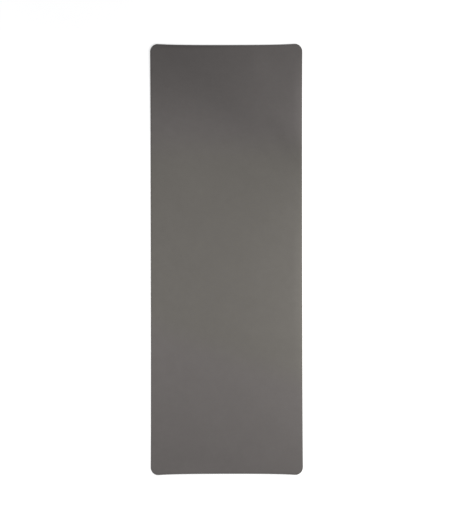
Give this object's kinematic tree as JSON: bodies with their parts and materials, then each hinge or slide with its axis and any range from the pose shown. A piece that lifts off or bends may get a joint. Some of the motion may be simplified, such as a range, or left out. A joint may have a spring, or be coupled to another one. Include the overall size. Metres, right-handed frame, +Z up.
{
  "type": "fitness mat",
  "caption": "Flat rectangular exercise mat with rounded corners: a laminated foam sheet that cushions the body and grips the floor.",
  "frame": {"origin": "middle of the underside, on the floor", "axes": "+X across the mat, +Y along it towards the end that is at the top of the picture, +Z up out of the top skin"},
  "size_m": [0.6132, 1.736, 0.006],
  "materials": {
    "top_skin": "matt warm grey elastomer skin with a fine pebble grain",
    "upper_foam": "matt warm grey closed-cell foam, cut edge with fine pores",
    "scrim_yarn": "flat off-white polyester yarn",
    "lower_foam": "matt charcoal closed-cell foam, cut edge with fine pores",
    "grip_skin": "matt charcoal elastomer skin with low wavy grip ribs"
  },
  "bodies": {
    "root": {"grip_skin": "grip_skin", "lower_foam": "lower_foam", "reinforcing_scrim": "scrim_yarn", "upper_foam": "upper_foam", "top_skin": "top_skin"}
  },
  "joints": []
}
